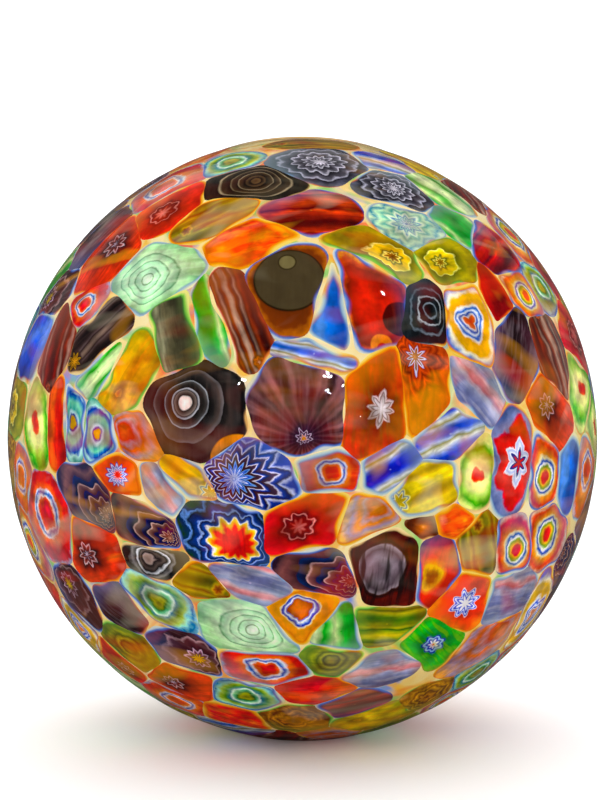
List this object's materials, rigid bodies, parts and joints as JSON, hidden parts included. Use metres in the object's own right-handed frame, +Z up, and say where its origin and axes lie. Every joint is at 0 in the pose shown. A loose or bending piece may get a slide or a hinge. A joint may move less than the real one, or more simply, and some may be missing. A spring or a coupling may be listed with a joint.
{
  "type": "art glass bowl",
  "caption": "Globular blown glass bowl, patterned cane slices pressed into an ivory ground and cased in clear glass, round mouth and small flat base",
  "frame": {"origin": "middle of the flat ground base, on the surface that the bowl stands on", "axes": "+Z up through the mouth, -Y the front, +X to the right seen from the front"},
  "size_m": [0.2, 0.2, 0.1905],
  "materials": {
    "clear_casing": "clear cased glass, fire polished, flat ground base",
    "ivory_ground": "opal ivory glass, blown",
    "dark_eye_hexagon": "pulled cane glass, cut and fused",
    "purple_fan": "pulled cane glass, cut and fused",
    "khaki_cone": "pulled cane glass, cut and fused",
    "red_grey_star": "pulled cane glass, cut and fused",
    "orange_star_rod": "pulled cane glass, cut and fused",
    "red_block": "pulled cane glass, cut and fused",
    "black_swirl_bead": "pulled cane glass, cut and fused",
    "brown_window": "pulled cane glass, cut and fused",
    "blue_sunburst": "pulled cane glass, cut and fused",
    "red_navy_rosette": "pulled cane glass, cut and fused",
    "red_ring_star": "pulled cane glass, cut and fused",
    "dark_ring_disc": "pulled cane glass, cut and fused",
    "orange_square_eye": "pulled cane glass, cut and fused",
    "red_horseshoe": "pulled cane glass, cut and fused",
    "red_blue_flower": "pulled cane glass, cut and fused",
    "black_white_pebble": "pulled cane glass, cut and fused",
    "amber_bead": "pulled cane glass, cut and fused",
    "mint_rings": "pulled cane glass, cut and fused",
    "yellow_daisies": "pulled cane glass, cut and fused",
    "yellow_leaves": "pulled cane glass, cut and fused",
    "yellow_ribbed_rods": "pulled cane glass, cut and fused",
    "olive_rods": "pulled cane glass, cut and fused",
    "olive_eyes": "pulled cane glass, cut and fused",
    "olive_veils": "pulled cane glass, cut and fused",
    "ochre_crackle": "pulled cane glass, cut and fused",
    "green_strips": "pulled cane glass, cut and fused",
    "green_eyes": "pulled cane glass, cut and fused",
    "green_stripes": "pulled cane glass, cut and fused",
    "green_blue_flowers": "pulled cane glass, cut and fused",
    "teal_stars": "pulled cane glass, cut and fused",
    "blue_white_veils": "pulled cane glass, cut and fused",
    "blue_loops": "pulled cane glass, cut and fused",
    "blue_green_cells": "pulled cane glass, cut and fused",
    "cobalt_glass": "pulled cane glass, cut and fused",
    "grey_flowers": "pulled cane glass, cut and fused",
    "lavender_stripes": "pulled cane glass, cut and fused",
    "aubergine_ovals": "pulled cane glass, cut and fused",
    "aubergine_flowers": "pulled cane glass, cut and fused",
    "dark_scalloped_rods": "pulled cane glass, cut and fused",
    "dark_flower_rods": "pulled cane glass, cut and fused",
    "brown_red_rods": "pulled cane glass, cut and fused",
    "orange_flares": "pulled cane glass, cut and fused",
    "orange_dark_flowers": "pulled cane glass, cut and fused",
    "coral_stars": "pulled cane glass, cut and fused",
    "coral_veils": "pulled cane glass, cut and fused",
    "red_eyes": "pulled cane glass, cut and fused",
    "red_pink_flowers": "pulled cane glass, cut and fused",
    "red_striped_ovals": "pulled cane glass, cut and fused",
    "red_strips": "pulled cane glass, cut and fused",
    "cream_green_bows": "pulled cane glass, cut and fused",
    "teardrops": "pulled cane glass, cut and fused"
  },
  "bodies": {
    "root": {"clear_casing": "clear_casing", "ivory_ground": "ivory_ground", "dark_eye_hexagon": "dark_eye_hexagon", "purple_fan": "purple_fan", "khaki_cone": "khaki_cone", "red_grey_star": "red_grey_star", "orange_star_rod": "orange_star_rod", "red_block": "red_block", "black_swirl_bead": "black_swirl_bead", "brown_window": "brown_window", "blue_sunburst": "blue_sunburst", "red_navy_rosette": "red_navy_rosette", "red_ring_star": "red_ring_star", "dark_ring_disc": "dark_ring_disc", "orange_square_eye": "orange_square_eye", "red_horseshoe": "red_horseshoe", "red_blue_flower": "red_blue_flower", "black_white_pebble": "black_white_pebble", "amber_bead": "amber_bead", "mint_rings": "mint_rings", "yellow_daisies": "yellow_daisies", "yellow_leaves": "yellow_leaves", "yellow_ribbed_rods": "yellow_ribbed_rods", "olive_rods": "olive_rods", "olive_eyes": "olive_eyes", "olive_veils": "olive_veils", "ochre_crackle": "ochre_crackle", "green_strips": "green_strips", "green_eyes": "green_eyes", "green_stripes": "green_stripes", "green_blue_flowers": "green_blue_flowers", "teal_stars": "teal_stars", "blue_white_veils": "blue_white_veils", "blue_loops": "blue_loops", "blue_green_cells": "blue_green_cells", "cobalt_glass": "cobalt_glass", "grey_flowers": "grey_flowers", "lavender_stripes": "lavender_stripes", "aubergine_ovals": "aubergine_ovals", "aubergine_flowers": "aubergine_flowers", "dark_scalloped_rods": "dark_scalloped_rods", "dark_flower_rods": "dark_flower_rods", "brown_red_rods": "brown_red_rods", "orange_flares": "orange_flares", "orange_dark_flowers": "orange_dark_flowers", "coral_stars": "coral_stars", "coral_veils": "coral_veils", "red_eyes": "red_eyes", "red_pink_flowers": "red_pink_flowers", "red_striped_ovals": "red_striped_ovals", "red_strips": "red_strips", "cream_green_bows": "cream_green_bows", "teardrops": "teardrops"}
  },
  "joints": []
}
